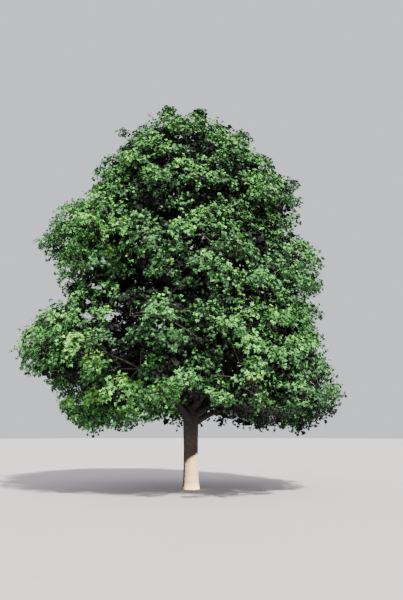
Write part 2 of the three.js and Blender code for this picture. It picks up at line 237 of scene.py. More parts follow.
FRONT_HOLLOWS = [
    (187, 134, 15, -2.0), (176, 202, 17, -1.3), (273, 231, 20, -2.4), (112, 272, 20, -1.2),
    (186, 284, 20, -1.2), (236, 253, 14, -1.9), (121, 321, 17, -1.9), (124, 305, 14, -1.8),
    (100, 298, 17, -2.0), (192, 348, 20, -2.2), (228, 294, 14, -0.7), (228, 376, 17, -2.0),
    (190, 318, 11, -1.6), (145, 351, 18, -1.8), (60, 382, 12, -1.2), (248, 385, 12, -1.6),
    (140, 250, 11, -1.2), (200, 418, 20, -3.2), (238, 420, 20, -3.2), (282, 422, 20, -3.0),
    (114, 416, 9, -1.2), (124, 190, 13, -1.2), (318, 420, 14, -2.0), (152, 274, 12, -1.4),
    (257, 214, 10, -1.2), (128, 355, 13, -1.4), (104, 338, 9, -1.0), (224, 343, 13, -1.6),
    (110, 319, 18, -2.6), (80, 264, 14, -1.3), (279, 238, 15, -1.8), (142, 288, 10, -1.2),
    (232, 303, 9, -0.8), (212, 379, 10, -1.6), (248, 379, 13, -2.0), (272, 382, 12, -1.4),
]
# How far bulges stand out and hollows fall back, and the share of clumps that a hollow goes without
BULGE_HEIGHT = 0.42
HOLLOW_DEPTH = 0.95
HOLLOW_THINNING = 0.55
# How a bulge or a hollow fades from its middle, and how steeply towards its edge
FEATURE_FADE = 0.7
FEATURE_STEEPNESS = 4

# Gaps through the crown in the front view: pixels across and down, and how far off leaves keep in pixels.
# Their edges are ragged by this much in metres.
CROWN_GAPS = [
    (102, 261, 2.5), (105, 260, 2.0), (69, 269, 2.4), (88, 279, 2.0), (93, 285, 2.5), (98, 287, 2.7),
    (101, 289, 2.0), (87, 301, 2.4), (83, 316, 2.7), (88, 317, 2.9), (93, 318, 2.4), (107, 317, 2.3),
    (111, 317, 2.2), (122, 323, 1.8), (158, 327, 2.8), (148, 350, 2.0), (155, 266, 1.9), (108, 270, 1.6),
]
GAP_RAGGEDNESS = 0.03
# Where no clump hangs in front of the trunk's fork in the front view, and how far back that goes
FORK_VIEW = [(186, 418, 12), (203, 412, 13), (213, 406, 7)]
FORK_VIEW_BACK = -1

# Clumps given one by one, which stand out from the crown or close its edge: kind, where, whether they hang
# down (-1) or point up (1), and how wide they are
SET_CLUMPS = [
    ("open", (-3.3, -1.5, 1.98), -1, 0.34), ("open", (-2.75, -2.3, 2.12), -1, 0.34),
    ("open", (1.9, -2.6, 2.2), -1, 0.34), ("open", (3.1, -2.0, 2.15), -1, 0.34),
    ("open", (-0.8, -0.1, 12.66), 1, 0.24), ("open", (0.28, -0.1, 12.58), 1, 0.22),
    ("open", (-2.45, -0.2, 11.85), 1, 0.28), ("open", (1.75, -0.2, 11.7), 1, 0.3),
    ("hidden", (3.1, -0.2, 9.5), 1, 0.55), ("hidden", (2.9, -0.5, 8.95), 1, 0.55),
    ("hidden", (2.85, 0.3, 9.2), 1, 0.6), ("hidden", (3.0, 0.2, 8.5), 1, 0.55),
    ("open", (-3.0, 0.1, 10.4), 1, 0.4), ("open", (-4.5, 0.2, 7.6), -1, 0.35),
    ("open", (3.4, 0.0, 9.4), 1, 0.4), ("open", (3.35, 0.1, 8.8), 1, 0.4),
    ("open", (3.3, -0.1, 9.95), 1, 0.36), ("open", (0.86, -4.65, 2.56), 1, 0.32),
    ("open", (1.89, -4.5, 2.52), 1, 0.36), ("open", (2.97, -3.65, 2.36), 1, 0.36),
]

# Open clumps stand at points all over the outline, taken in a shuffled order where none stands near yet.
# Masses have their own where they face down more than UNDERSIDE.
SURFACE_POINTS = 2200
COVER_SEED = 2
SURFACE_SPACING = 0.62
UNDERSIDE = -0.4

# Leaves: x runs from the foot of the blade to its tip and y across it, in shares of the leaf's length
LEAF_HALF_OUTLINE = [(0.0, 0.0), (-0.05, 0.36), (0.42, 0.56), (0.5, 0.21), (1.0, 0.0)]
SHADE_HALF_OUTLINE = [(0.0, 0.0), (-0.04, 0.36), (0.44, 0.52), (1.0, 0.0)]
# The stalk, the rise of the blade's sides from its midrib and the droop of its tip
LEAF_STALK = 0.42
LEAF_STALK_WIDTH = 0.028
LEAF_KEEL = 0.16
LEAF_DROOP = 0.2
# Where leaves sit along a shoot, in shares of its length, and how far each turns aside: four pairs and one
# at the tip
LEAF_SHARES = [0.45, 0.45, 0.68, 0.68, 0.86, 0.86, 1.0, 1.0, 1.0]
LEAF_TURNS = [-100, 100, -78, 78, -55, 55, -26, 26, 0]
# How far leaves hang from the way that they point
LEAF_SAG = 0.32
# How a leaf faces: shares of its shoot's way, of the way out of the crown and of straight up
FACING_SHARES = [0.25, 0.42, 0.6]
# How leaves differ: in how far they turn aside, in how they face and lie across, and in length. Their own
# seeds are this far from the mass's.
TURN_SPREAD = 12
FACING_SPREAD = 0.4
ACROSS_SPREAD = 0.25
SMALLEST_LEAF = 0.7
LARGEST_LEAF = 1.18
LEAF_SEEDS = 5000
# How far leaves may stand out of the solids' box
BOX_MARGIN = 0.25

# How light a leaf's green is, in steps of LEAF_GREENS: the usual, with painted light on shoots that point up
# and painted shade to the right and under the crown, and how much clumps, shoots and leaves differ
USUAL_LIGHT = 2.45
PAINTED_LIGHT_UPWARD = 1.2
SHADE_RIGHTWARD = 0.08
UNDERSIDE_HEIGHT = 2.4
UNDERSIDE_SHADE = 0.9
CLUMP_LIGHT_SPREAD = 0.5
SHOOT_LIGHT_SPREAD = 0.5
LEAF_LIGHT_SPREAD = 1.0

# Bark: how finely the trunk is cut, up to where its relief shows and above that
TRUNK_SIDES = 144
RELIEF_TOP = 2.6
RELIEF_STEP = 0.02
UPPER_TRUNK_SIDES = 40
UPPER_TRUNK_STEP = 0.16
# Furrows: how far apart they are, how many a thin limb has, how often they meet, how far they bend and drift,
# and their depth as a share of the limb's radius. Waves round a limb are how far, how many and from where.
FURROW_SPACING = 0.055
FEWEST_FURROWS = 5
FURROW_MEET = 0.3
FURROW_BEND = 0.25
FURROW_DRIFT = 0.4
FURROW_DRIFT_LENGTH = 1.9
FURROW_DRIFT_WAVES = 2
FURROW_SHARE = 0.034
FURROW_WAVES = [(1.3, 3, 0.0), (0.9, 5, 1.0)]
# How far along the bark's pattern each limb starts after the last
LIMB_APART = 1.7

# Camera, in metres, degrees and millimetres, and the photo's frame in pixels
CAMERA_PLACE = (0.337, -22.06, 1.88)
CAMERA_TILT = 10.66
LENS = 40.8
SENSOR = 36
FRAME_WIDTH = 403
FRAME_HEIGHT = 600

# Colours, as red, green and blue in linear light
BROWN_RIDGES = (0.088, 0.068, 0.05, 1)
GREY_RIDGES = (0.06, 0.054, 0.05, 1)
PALE_LICHEN = (0.125, 0.125, 0.1, 1)
DARK_FURROWS = (0.03, 0.025, 0.022, 1)
EARTHY_FOOT = (0.2, 0.155, 0.11, 1)
# Painted shade: the near-black that the bark darkens to up by the fork, where the crown's shade falls
PAINTED_CROWN_SHADE = (0.015, 0.0115, 0.015, 1)
TWIG_BROWN = (0.024, 0.019, 0.016, 1)
TWIG_OLIVE = (0.04, 0.034, 0.028, 1)
TWIG_PORES = (0.075, 0.065, 0.053, 1)
FLOOR_GREY = (0.32, 0.32, 0.31, 1)
FLOOR_PALE = (0.34, 0.34, 0.33, 1)
FILL_LIGHT = (0.93, 0.87, 1.0, 1)
BACKDROP_GREY = (0.82, 0.86, 0.9, 1)
KEY_LIGHT = (1.0, 0.97, 0.9)
LAMP_LIGHT = (1.0, 0.86, 0.54)
# Leaves keep one plain colour each, dealt out by spray, because a pattern wouldn't stay put on so many small
# faces: name, colour, roughness and shine, from the darkest to the lightest
LEAF_GREENS = [
    # The first is no leaf's own green but a near-black painted shade for leaves deep inside the crown
    ("painted inner shade", (0.016, 0.016, 0.016), 0.95, 0.0),
    ("forest green", (0.021, 0.042, 0.02), 0.75, 0.05),
    ("cool green", (0.032, 0.094, 0.034), 0.62, 0.1),
    ("mid green", (0.048, 0.158, 0.04), 0.58, 0.13),
    ("fresh green", (0.076, 0.252, 0.052), 0.54, 0.15),
    ("light green", (0.135, 0.38, 0.078), 0.52, 0.17),
    ("yellow green", (0.22, 0.42, 0.07), 0.5, 0.18),
]

# Floor and light: the key light's angles are above the level and to the right of the camera's side
FLOOR_SIDES = 96
FLOOR_RADIUS = 90
FLOOR_CENTRE = (0, 20, -0.002)
FILL_STRENGTH = 1.75
BACKDROP_STRENGTH = 1.0
KEY_STRENGTH = 14.5
KEY_SOFTNESS = 3
KEY_HEIGHT = 49
KEY_BEARING = 22
LAMP_STRENGTH = 350000
LAMP_SIZE = 0.06
LAMP_BEAM = 5.4
LAMP_EDGE = 0.05
LAMP_PLACE = (8.5, -13.5, 1.3)
LAMP_AIM = (0.305, 0.19, 0.36)
VIEW_END = 300

GOLDEN_ANGLE = math.pi * (3 - math.sqrt(5))
GOLDEN_SHARE = (math.sqrt(5) - 1) / 2
UP = np.array([0.0, 0.0, 1.0])
TO_FRONT = np.array([0.0, -1.0, 0.0])
TO_RIGHT = np.array([1.0, 0.0, 0.0])
# A limb this much along its reference direction takes another one
NEARLY_ALONG = 0.9
# Least values that stand in for zero in a division
TINY = 1e-6
LEAST_OFFSET = 0.01


# The rule that the tree grows by


def seeded_random(seed):
    """Repeatable numbers from 0 to 1, the same as in the part's source."""
    state = seed & 0xFFFFFFFF

    def draw():
        nonlocal state
        state = (state + 0x6D2B79F5) & 0xFFFFFFFF
        mixed = ((state ^ (state >> 15)) * (state | 1)) & 0xFFFFFFFF
        mixed ^= (mixed + (mixed ^ (mixed >> 7)) * (mixed | 61)) & 0xFFFFFFFF
        return (mixed ^ (mixed >> 14)) / 4294967296

    return draw


def between(random, low, high):
    return low + (high - low) * random()


def unit(vectors):
    return vectors / np.linalg.norm(vectors, axis=-1, keepdims=True)


def trunk_point(height):
    """The trunk's middle at a height."""
    height = np.asarray(height, dtype=float)
    rise = np.maximum(height, 0) / TRUNK_TIP
    return np.stack([-TRUNK_LEAN * rise**2, TRUNK_SWAY * rise * np.sin(2 * math.pi * rise), height], axis=-1)


def trunk_radius(height):
    return np.interp(height, TAPER_HEIGHTS, TAPER_RADII)


def flare_at(height, angle):
    """The roots' swelling round the foot of the trunk, in rounded lobes."""
    lobe = 1 - FLARE_LOBING + FLARE_LOBING * np.cos(FLARE_LOBES * angle + FLARE_TURN)
    return FLARE_DEPTH * lobe * np.exp(-np.maximum(height, 0) / FLARE_HEIGHT)


def golden_spiral(count, spread, turn, sways=0.0):
    """Directions on a unit sphere, from its x axis out to the spread angle, evenly apart."""
    steps = (np.arange(count) + 0.5) / count
    out = 1 - (1 - math.cos(math.radians(spread))) * steps
    aside = np.sqrt(1 - out**2)
    bearing = turn + np.arange(count) * GOLDEN_ANGLE + sways
    return np.stack([out, aside * np.cos(bearing), aside * np.sin(bearing)], axis=-1)


class Mass:
    """One mass of foliage: its heart, its own axes, and the walls that part it from its neighbours."""

    def __init__(self, tier_name, tier_index, place):
        tier = TIERS[tier_name]
        self.tier, self.place = tier_name, place
        self.name = f"{tier_name}_{place + 1}"
        self.seed = TIER_SEEDS * (tier_index + 1) + place
        random = seeded_random(self.seed)
        spread = 1 if tier["reach"] else 0
        size = 1 + between(random, -0.5, 0.5) * SIZE_SPREAD * spread
        reach = tier["reach"] + between(random, -0.5, 0.5) * REACH_SPREAD * spread
        height = tier["height"] + between(random, -0.5, 0.5) * HEIGHT_SPREAD * spread
        bearing = math.radians(tier["turn"] + 360 * place / tier["count"])
        tilt = math.radians(tier["tilt"])
        level = np.array([math.cos(bearing), math.sin(bearing), 0.0])
        outward = level * math.cos(tilt) + UP * math.sin(tilt)
        around = np.cross(UP, level)
        self.axes = np.stack([outward, around, np.cross(outward, around)], axis=1)
        self.radii = np.array([MASS_DEPTH, tier["width"] * size, tier["rise"] * size])
        self.heart = level * reach + np.array([tier["drift"], 0, height]) - outward * MASS_DEPTH

    def to_tree(self, spans):
        """From shares of the mass's radii, along its own axes, to the tree's axes."""
        return (spans * self.radii) @ self.axes.T

    def support(self, direction):
        """How far the mass reaches in a direction, without its walls."""
        return float(np.linalg.norm((direction @ self.axes) * self.radii))

    def set_walls(self, masses):
        """Parts the mass from its neighbours: each wall is a direction and how far off it stands."""
        walls = []
        for other in masses:
            if other is self:
                continue
            apart = other.heart - self.heart
            distance = float(np.linalg.norm(apart))
            direction = apart / distance
            own, theirs = self.support(direction), other.support(direction)
            if distance < own + theirs:
                walls.append((*direction, distance * own / (own + theirs) - SPACE_GAP))
        self.walls = np.array(walls)

    def reach(self, directions):
        """How far the mass's space goes from its heart in each direction."""
        open_reach = 1 / np.linalg.norm((directions @ self.axes) / self.radii, axis=-1)
        facing = directions @ self.walls[:, :3].T
        to_walls = np.where(facing > TINY, self.walls[:, 3] / np.maximum(facing, TINY), np.inf)
        return np.minimum(open_reach, to_walls.min(axis=-1))

    def holds(self, points):
        """Which points lie in the mass's space."""
        offsets = points - self.heart
        return np.linalg.norm(offsets, axis=-1) <= self.reach(unit(offsets))

    def main_directions(self):
        """Where the main twigs point: the source's own spiral, drawn in the source's order."""
        random = seeded_random(self.seed + TWIG_SEEDS)
        turn = between(random, 0, 2 * math.pi)
        sways = np.array([between(random, -TWIG_SWAY, TWIG_SWAY) for _ in range(TWIGS_PER_MASS)])
        return unit(self.to_tree(golden_spiral(TWIGS_PER_MASS, TWIG_SPREAD, turn, sways))), turn


def bough_line(mass):
    """The three points of a bough's curve: in the trunk, over the elbow, and where it enters its mass."""
    rule = BOUGH_TIERS[mass.tier]
    step = mass.place * GOLDEN_SHARE
    root = trunk_point(rule["root_height"] + rule["root_spread"] * (step - math.floor(step)))
    elbow = (root + mass.heart) / 2 + BOUGH_ARCH * np.linalg.norm(mass.heart - root) * UP
    inward = unit(elbow - mass.heart)
    return root, elbow, mass.heart + inward * BOUGH_ENTRY * mass.support(inward)


def entry_of(mass):
    """Where a mass's stem starts: at its bough's tip, or in the trunk."""
    if mass.tier in BOUGH_TIERS:
        return bough_line(mass)[2]
    return trunk_point(min(mass.heart[2] - STEM_DROP, TRUNK_TIP))


def limb_of(mass):
    """The three points of the limb that carries a mass: its bough, or its stem from the trunk."""
    if mass.tier in BOUGH_TIERS:
        return bough_line(mass)
    entry = entry_of(mass)
    return entry, (entry + mass.heart) / 2, mass.heart


# Meshes from arrays


def in_scene(name, data):
    """A new object, linked into the scene."""
    made = bpy.data.objects.new(name, data)
    bpy.context.scene.collection.objects.link(made)
    return made


def mesh_piece(name, shape, materials, face_materials=None, smooth=False):
    """A mesh object from vertices and triangles, and on limbs each vertex's place for the bark to follow."""
    vertices, triangles, *places = shape
    mesh = bpy.data.meshes.new(name)
    mesh.vertices.add(len(vertices))
    mesh.vertices.foreach_set("co", vertices.astype(np.float32).ravel())
    mesh.loops.add(triangles.size)
    mesh.loops.foreach_set("vertex_index", triangles.astype(np.int32).ravel())
    mesh.polygons.add(len(triangles))
    mesh.polygons.foreach_set("loop_start", np.arange(0, triangles.size, 3, dtype=np.int32))
    for material in materials:
        mesh.materials.append(material)
    if face_materials is not None:
        mesh.polygons.foreach_set("material_index", face_materials.astype(np.int32))
    mesh.polygons.foreach_set("use_smooth", np.full(len(triangles), smooth))
    if places:
        limb_place = mesh.attributes.new("limb_place", "FLOAT_VECTOR", "POINT")
        limb_place.data.foreach_set("vector", places[0].ravel())
    mesh.update()
    return in_scene(name, mesh)


def joined(limbs):
    """Several limbs as one shape."""
    points, triangles, places = zip(*limbs)
    starts = np.cumsum([0] + [len(part) for part in points[:-1]])
    triangles = [part + start for part, start in zip(triangles, starts)]
    return np.concatenate(points), np.concatenate(triangles), np.concatenate(places)


def tubes(lines, radii, sides, reference=UP):
    """Limbs along polylines, each closed to a point at its tip: vertices, triangles and each vertex's place.

    lines is curves by rings by xyz. radii is curves by rings, with a third axis where they change round the
    limb. A place is where the vertex would be if its limb were straight, each limb starting further along.
    """
    curves, rings = lines.shape[:2]
    if radii.ndim == 2:
        radii = radii[..., None]
    tangents = unit(np.gradient(lines, axis=1))
    upright = np.abs(tangents[:, :1] @ reference)[..., None] > NEARLY_ALONG
    aside = unit(np.cross(tangents, np.where(upright, TO_RIGHT, reference)))
    over = np.cross(tangents, aside)
    angles = 2 * math.pi * np.arange(sides) / sides
    around = aside[:, :, None] * np.cos(angles)[:, None] + over[:, :, None] * np.sin(angles)[:, None]
    walls = (lines[:, :, None] + radii[..., None] * around)[:, :-1].reshape(curves, -1, 3)
    points = np.concatenate([walls, lines[:, -1:]], axis=1)
    starts = np.arange(curves)[:, None, None] * points.shape[1]
    ring_at = starts + np.arange((rings - 1) * sides).reshape(rings - 1, sides)
    next_at = np.roll(ring_at, -1, axis=2)
    apex = np.broadcast_to(starts[:, 0] + (rings - 1) * sides, (curves, sides))
    lower = np.stack([ring_at[:, :-1], next_at[:, :-1], ring_at[:, 1:]], axis=-1)
    upper = np.stack([next_at[:, :-1], next_at[:, 1:], ring_at[:, 1:]], axis=-1)
    tips = np.stack([ring_at[:, -1], next_at[:, -1], apex], axis=-1)
    triangles = np.concatenate([part.reshape(-1, 3) for part in (lower, upper, tips)])

    steps = np.linalg.norm(np.diff(lines, axis=1), axis=2)
    along = np.cumsum(np.pad(steps, ((0, 0), (1, 0))), axis=1) + np.arange(curves)[:, None] * LIMB_APART
    level = radii[..., None] * np.stack([np.cos(angles), np.sin(angles)], axis=1)
    straight = np.concatenate([level, np.broadcast_to(along[..., None, None], (*level.shape[:3], 1))], axis=3)
    tip_places = np.stack([np.zeros(curves), np.zeros(curves), along[:, -1]], axis=1)[:, None]
    places = np.concatenate([straight[:, :-1].reshape(curves, -1, 3), tip_places], axis=1)
    return points.reshape(-1, 3), triangles, places.reshape(-1, 3).astype(np.float32)


def bowed(starts, ends, sag, rings):
    """Polylines from starts to ends that sag by a share of their length, or rise where sag is negative."""
    middles = (starts + ends) / 2 - UP * sag * np.linalg.norm(ends - starts, axis=-1, keepdims=True)
    return curves_at(starts, middles, ends, np.linspace(0, 1, rings))


def curves_at(starts, middles, ends, shares):
    """Points at shares of the way along curves from starts to ends, which their middles pull aside."""
    s = np.array(shares)[None, :, None]
    return (1 - s) ** 2 * starts[:, None] + 2 * s * (1 - s) * middles[:, None] + s**2 * ends[:, None]


def tapered(count, first, last, rings):
    """The radii of several twigs that taper alike."""
    return np.repeat(np.linspace(first, last, rings)[None], count, axis=0)


def dress(piece, nodes):
    """Places a piece on the tree's body and hides the solids that it stands for."""
    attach(piece, "root")
    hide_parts(*nodes)


# Materials


class Nodes:
    """A node tree that is built a node at a time."""

    def __init__(self, tree):
        self.tree = tree

    def feed(self, socket, value):
        """Gives a socket a value, or another node's output."""
        if isinstance(value, bpy.types.NodeSocket):
            self.tree.links.new(value, socket)
        else:
            socket.default_value = value

    def add(self, kind, inputs=(), **settings):
        """A new node with its settings, its inputs fed by name."""
        made = self.tree.nodes.new(kind)
        for name, value in settings.items():
            setattr(made, name, value)
        for name, value in dict(inputs).items():
            self.feed(made.inputs[name], value)
        return made

    def combined(self, kind, operation, first, second):
        """The outcome of an operation on two values or vectors."""
        node = self.add(kind, operation=operation)
        self.feed(node.inputs[0], first)
        self.feed(node.inputs[1], second)
        return node.outputs[0]

    def attribute(self, name, output):
        """What the mesh holds at each point under a name."""
        return self.add("ShaderNodeAttribute", attribute_name=name).outputs[output]

    def mixed(self, share, first, second, blend="MIX"):
        """A colour between two others."""
        node = self.add("ShaderNodeMix", data_type="RGBA", blend_type=blend)
        for socket, value in zip((node.inputs[0], node.inputs[6], node.inputs[7]), (share, first, second)):
            self.feed(socket, value)
        return node.outputs[2]

    def ranged(self, value, low, high, to_low=0.0, to_high=1.0):
        """A value moved from one range to another, and kept within it."""
        inputs = {"Value": value, "From Min": low, "From Max": high, "To Min": to_low, "To Max": to_high}
        return self.add("ShaderNodeMapRange", inputs, clamp=True).outputs[0]

    def noise(self, place, scale, detail, roughness=0.5):
        """Cloudy noise from 0 to 1."""
        inputs = {"Vector": place, "Scale": scale, "Detail": detail, "Roughness": roughness}
        return self.add("ShaderNodeTexNoise", inputs).outputs["Fac"]

    def group(self, tree, **inputs):
        """A shared group, placed with values of its own."""
        node = self.add("ShaderNodeGroup", node_tree=tree)
        for name, value in inputs.items():
            self.feed(node.inputs[name], value)
        return node.outputs


def new_group(name, inputs, outputs):
    """An empty node group, with its named inputs' usual values, and its inner ends."""
    tree = bpy.data.node_groups.new(name, "ShaderNodeTree")
    for label, (kind, value) in inputs.items():
        socket = tree.interface.new_socket(label, in_out="INPUT", socket_type=kind)
        if value is not None:
            socket.default_value = value
    for label in outputs:
        tree.interface.new_socket(label, in_out="OUTPUT", socket_type="NodeSocketFloat")
    nodes = Nodes(tree)
    return tree, nodes, nodes.add("NodeGroupInput").outputs, nodes.add("NodeGroupOutput").inputs


def grain_group():
    """Fine cracks and pores drawn out along a limb."""
    inputs = {"Place": ("NodeSocketVector", None), "Fineness": ("NodeSocketFloat", 60.0),
              "Stretch": ("NodeSocketFloat", 0.25)}
    tree, nodes, given, put_out = new_group("limb grain", inputs, ["Height", "Flecks"])
    drawn_out = nodes.add("ShaderNodeCombineXYZ", {"X": 1.0, "Y": 1.0, "Z": given["Stretch"]}).outputs[0]
    place = nodes.combined("ShaderNodeVectorMath", "MULTIPLY", given["Place"], drawn_out)
    cracks = nodes.noise(place, given["Fineness"], 5.0, 0.62)
    nodes.feed(put_out["Height"], nodes.ranged(cracks, 0.3, 0.7))
    finer = nodes.combined("ShaderNodeMath", "MULTIPLY", given["Fineness"], 2.3)
    flecks = nodes.noise(place, finer, 2.0)
    nodes.feed(put_out["Flecks"], nodes.ranged(flecks, 0.42, 0.68))
    return tree


def patches_group():
    """Soft-edged patches of weathering, of a size in metres, that cover a share of the surface."""
    inputs = {"Place": ("NodeSocketVector", None), "Size": ("NodeSocketFloat", 0.2),
              "Cover": ("NodeSocketFloat", 0.4), "Softness": ("NodeSocketFloat", 0.1)}
    tree, nodes, given, put_out = new_group("weather patches", inputs, ["Mask"])
    scale = nodes.combined("ShaderNodeMath", "DIVIDE", 1.0, given["Size"])
    blotches = nodes.noise(given["Place"], scale, 4.0, 0.6)
    edge = nodes.ranged(given["Cover"], 0.0, 1.0, 0.7, 0.3)
    high = nodes.combined("ShaderNodeMath", "ADD", edge, given["Softness"])
    nodes.feed(put_out["Mask"], nodes.ranged(blotches, edge, high))
    return tree


GRAIN = grain_group()
PATCHES = patches_group()


def principled(name, colour, roughness, specular=0.5):
    """A new material's nodes and its shader, with plain values for a start."""
    material = bpy.data.materials.new(name)
    material.use_nodes = True
    shader = material.node_tree.nodes["Principled BSDF"]
    shader.inputs["Base Color"].default_value = (*colour, 1)
    shader.inputs["Roughness"].default_value = roughness
    shader.inputs["Specular IOR Level"].default_value = specular
    return material, Nodes(material.node_tree), shader.inputs


def bark_material():
    """Grey-brown ridges over dark furrows, pale lichen, an earthy foot, and painted shade in cracks and by
    the fork.
    """
    material, nodes, shader = principled("trunk bark", (0.4, 0.34, 0.26), 0.9, 0.25)
    place = nodes.attribute("limb_place", "Vector")
    furrow = nodes.attribute("furrow", "Fac")
    in_tree = nodes.add("ShaderNodeTexCoord").outputs["Object"]
    height = nodes.add("ShaderNodeSeparateXYZ", {"Vector": in_tree}).outputs["Z"]
    grain = nodes.group(GRAIN, Place=place, Fineness=75.0, Stretch=0.22)
    grey = nodes.group(PATCHES, Place=place, Size=0.35, Cover=0.5, Softness=0.2)["Mask"]
    lichen = nodes.group(PATCHES, Place=place, Size=0.09, Cover=0.4, Softness=0.08)["Mask"]

    ridges = nodes.mixed(grey, BROWN_RIDGES, GREY_RIDGES)
    ridges = nodes.mixed(nodes.ranged(lichen, 0.0, 1.0, 0.0, 0.6), ridges, PALE_LICHEN)
    colour = nodes.mixed(nodes.ranged(furrow, 0.35, 0.95), ridges, DARK_FURROWS)
    # Painted shade: the colour is darkened in the grain's fine cracks and a little lightened on its rims, by
    # the bump's height
    shading = nodes.ranged(grain["Height"], 0.1, 0.75, 0.62, 1.06)
    grain_shade = nodes.add("ShaderNodeCombineXYZ", dict.fromkeys("XYZ", shading)).outputs[0]
    colour = nodes.mixed(1.0, colour, grain_shade, "MULTIPLY")
    earth = nodes.ranged(height, 0.02, 0.22, 0.55, 0.0)
    colour = nodes.mixed(earth, colour, EARTHY_FOOT)
    # Painted shade: the bark darkens from 1.5 m up towards the fork, under the crown's shade
    crown_shade = nodes.ranged(height, 1.5, 2.3, 0.0, 0.8)
    nodes.feed(shader["Base Color"], nodes.mixed(crown_shade, colour, PAINTED_CROWN_SHADE))
    nodes.feed(shader["Roughness"], nodes.ranged(grain["Flecks"], 0.0, 1.0, 0.95, 0.76))
    bump = nodes.add("ShaderNodeBump", {"Strength": 0.55, "Distance": 0.006, "Height": grain["Height"]})
    nodes.feed(shader["Normal"], bump.outputs[0])
    return material


def twig_material():
    """Smoother bark, dark brown to olive, with paler pores."""
    material, nodes, shader = principled("twig bark", (0.05, 0.04, 0.03), 0.85, 0.2)
    place = nodes.attribute("limb_place", "Vector")
    grain = nodes.group(GRAIN, Place=place, Fineness=160.0, Stretch=0.4)
    weathered = nodes.group(PATCHES, Place=place, Size=0.3, Cover=0.45, Softness=0.15)["Mask"]
    colour = nodes.mixed(weathered, TWIG_BROWN, TWIG_OLIVE)
    pores = nodes.ranged(grain["Flecks"], 0.0, 1.0, 0.0, 0.5)
    nodes.feed(shader["Base Color"], nodes.mixed(pores, colour, TWIG_PORES))
    nodes.feed(shader["Roughness"], nodes.ranged(grain["Height"], 0.0, 1.0, 0.88, 0.66))
    bump = nodes.add("ShaderNodeBump", {"Strength": 0.3, "Distance": 0.002, "Height": grain["Height"]})
    nodes.feed(shader["Normal"], bump.outputs[0])
    return material


def floor_material():
    """A pale, matt studio floor with the faintest mottling."""
    material, nodes, shader = principled("pale floor", (0.6, 0.6, 0.58), 0.9, 0.2)
    place = nodes.add("ShaderNodeTexCoord").outputs["Object"]
    mottle = nodes.group(PATCHES, Place=place, Size=2.5, Cover=0.5, Softness=0.4)["Mask"]
    nodes.feed(shader["Base Color"], nodes.mixed(mottle, FLOOR_GREY, FLOOR_PALE))
    nodes.feed(shader["Roughness"], nodes.ranged(mottle, 0.0, 1.0, 0.86, 0.94))
    return material


leaf_materials = [principled(f"leaf {name}", *finish)[0] for name, *finish in LEAF_GREENS]


# Bark


def furrows_at(angle, along, count):
    """From 0 on a ridge to 1 in a furrow, for two families of wavy furrows that part and meet like a net."""
    turns = count * angle / (2 * math.pi)
    wander = sum(size * np.sin(waves * angle + start) for size, waves, start in FURROW_WAVES)
    bend = FURROW_BEND * np.sin(2 * math.pi * along / FURROW_MEET + wander)
    drift = FURROW_DRIFT * np.sin(2 * math.pi * along / FURROW_DRIFT_LENGTH + FURROW_DRIFT_WAVES * angle)
    first = np.abs(np.sin(math.pi * (turns + drift + bend)))
    second = np.abs(np.sin(math.pi * (turns + drift - bend)))
    return (1 - np.minimum(first, second)) ** 2


def furrow_count(radius):
    """How many furrows go round a limb."""
    return max(FEWEST_FURROWS, round(2 * math.pi * radius / FURROW_SPACING))


def limb_with_relief(line, radii, sides, reference=UP):
    """A limb's shape and how deep in a furrow each of its points is."""
    steps = np.linalg.norm(np.diff(line, axis=0), axis=1)
    along = np.concatenate([[0], np.cumsum(steps)])[:, None]
    angle = 2 * math.pi * np.arange(sides)[None] / sides
    furrow = furrows_at(angle, along, furrow_count(radii.mean()))
    relief = radii * (1 - FURROW_SHARE * furrow)
    shape = tubes(line[None], relief[None], sides, reference)
    return shape, np.append(furrow[:-1].ravel(), 0.0)


def trunk_shapes():
    """The foot of the trunk, cut finely for its relief, and the rest of it."""
    low_heights = np.arange(0, RELIEF_TOP + RELIEF_STEP, RELIEF_STEP)
    angle = 2 * math.pi * np.arange(TRUNK_SIDES)[None] / TRUNK_SIDES
    radii = trunk_radius(low_heights)[:, None] + flare_at(low_heights[:, None], -angle)
    low = limb_with_relief(trunk_point(low_heights), radii, TRUNK_SIDES, TO_FRONT)
    high_heights = np.arange(RELIEF_TOP - RELIEF_STEP, TRUNK_TIP + UPPER_TRUNK_STEP, UPPER_TRUNK_STEP)
    high_heights[-1] = TRUNK_TIP
    radii = np.repeat(trunk_radius(high_heights)[:, None], UPPER_TRUNK_SIDES, axis=1)
    return [low, limb_with_relief(trunk_point(high_heights), radii, UPPER_TRUNK_SIDES, TO_FRONT)]


def bough_shape(mass):
    """A bough that tapers along its curve, with a collar where it leaves the trunk."""
    root, elbow, tip = bough_line(mass)
    line = curves_at(root[None], elbow[None], tip[None], np.linspace(0, 1, BOUGH_RINGS))[0]
    run = np.concatenate([[0], np.cumsum(np.linalg.norm(np.diff(line, axis=0), axis=1))])
    length = run[-1]
    taper = BOUGH_TIP_RADIUS + BOUGH_SLENDERNESS * length * (1 - run / length)
    collar = 1 + COLLAR_SWELL * np.exp(-np.maximum(run - trunk_radius(root[2]), 0) / COLLAR_LENGTH)
    radii = np.repeat((taper * collar)[:, None], BOUGH_SIDES, axis=1)
    return limb_with_relief(line, radii, BOUGH_SIDES)


def make_bark(masses):
    """One piece for the trunk and all the boughs."""
    bearing = [mass for mass in masses if mass.tier in BOUGH_TIERS]
    limbs = trunk_shapes() + [bough_shape(mass) for mass in bearing]
    piece = mesh_piece("bark", joined([shape for shape, _ in limbs]), [bark_material()], smooth=True)
    furrow = piece.data.attributes.new("furrow", "FLOAT", "POINT")
    furrow.data.foreach_set("value", np.concatenate([depths for _, depths in limbs]).astype(np.float32))
    dress(piece, ["trunk", *(f"bough_{mass.name}" for mass in bearing)])


# Twigs and leaves


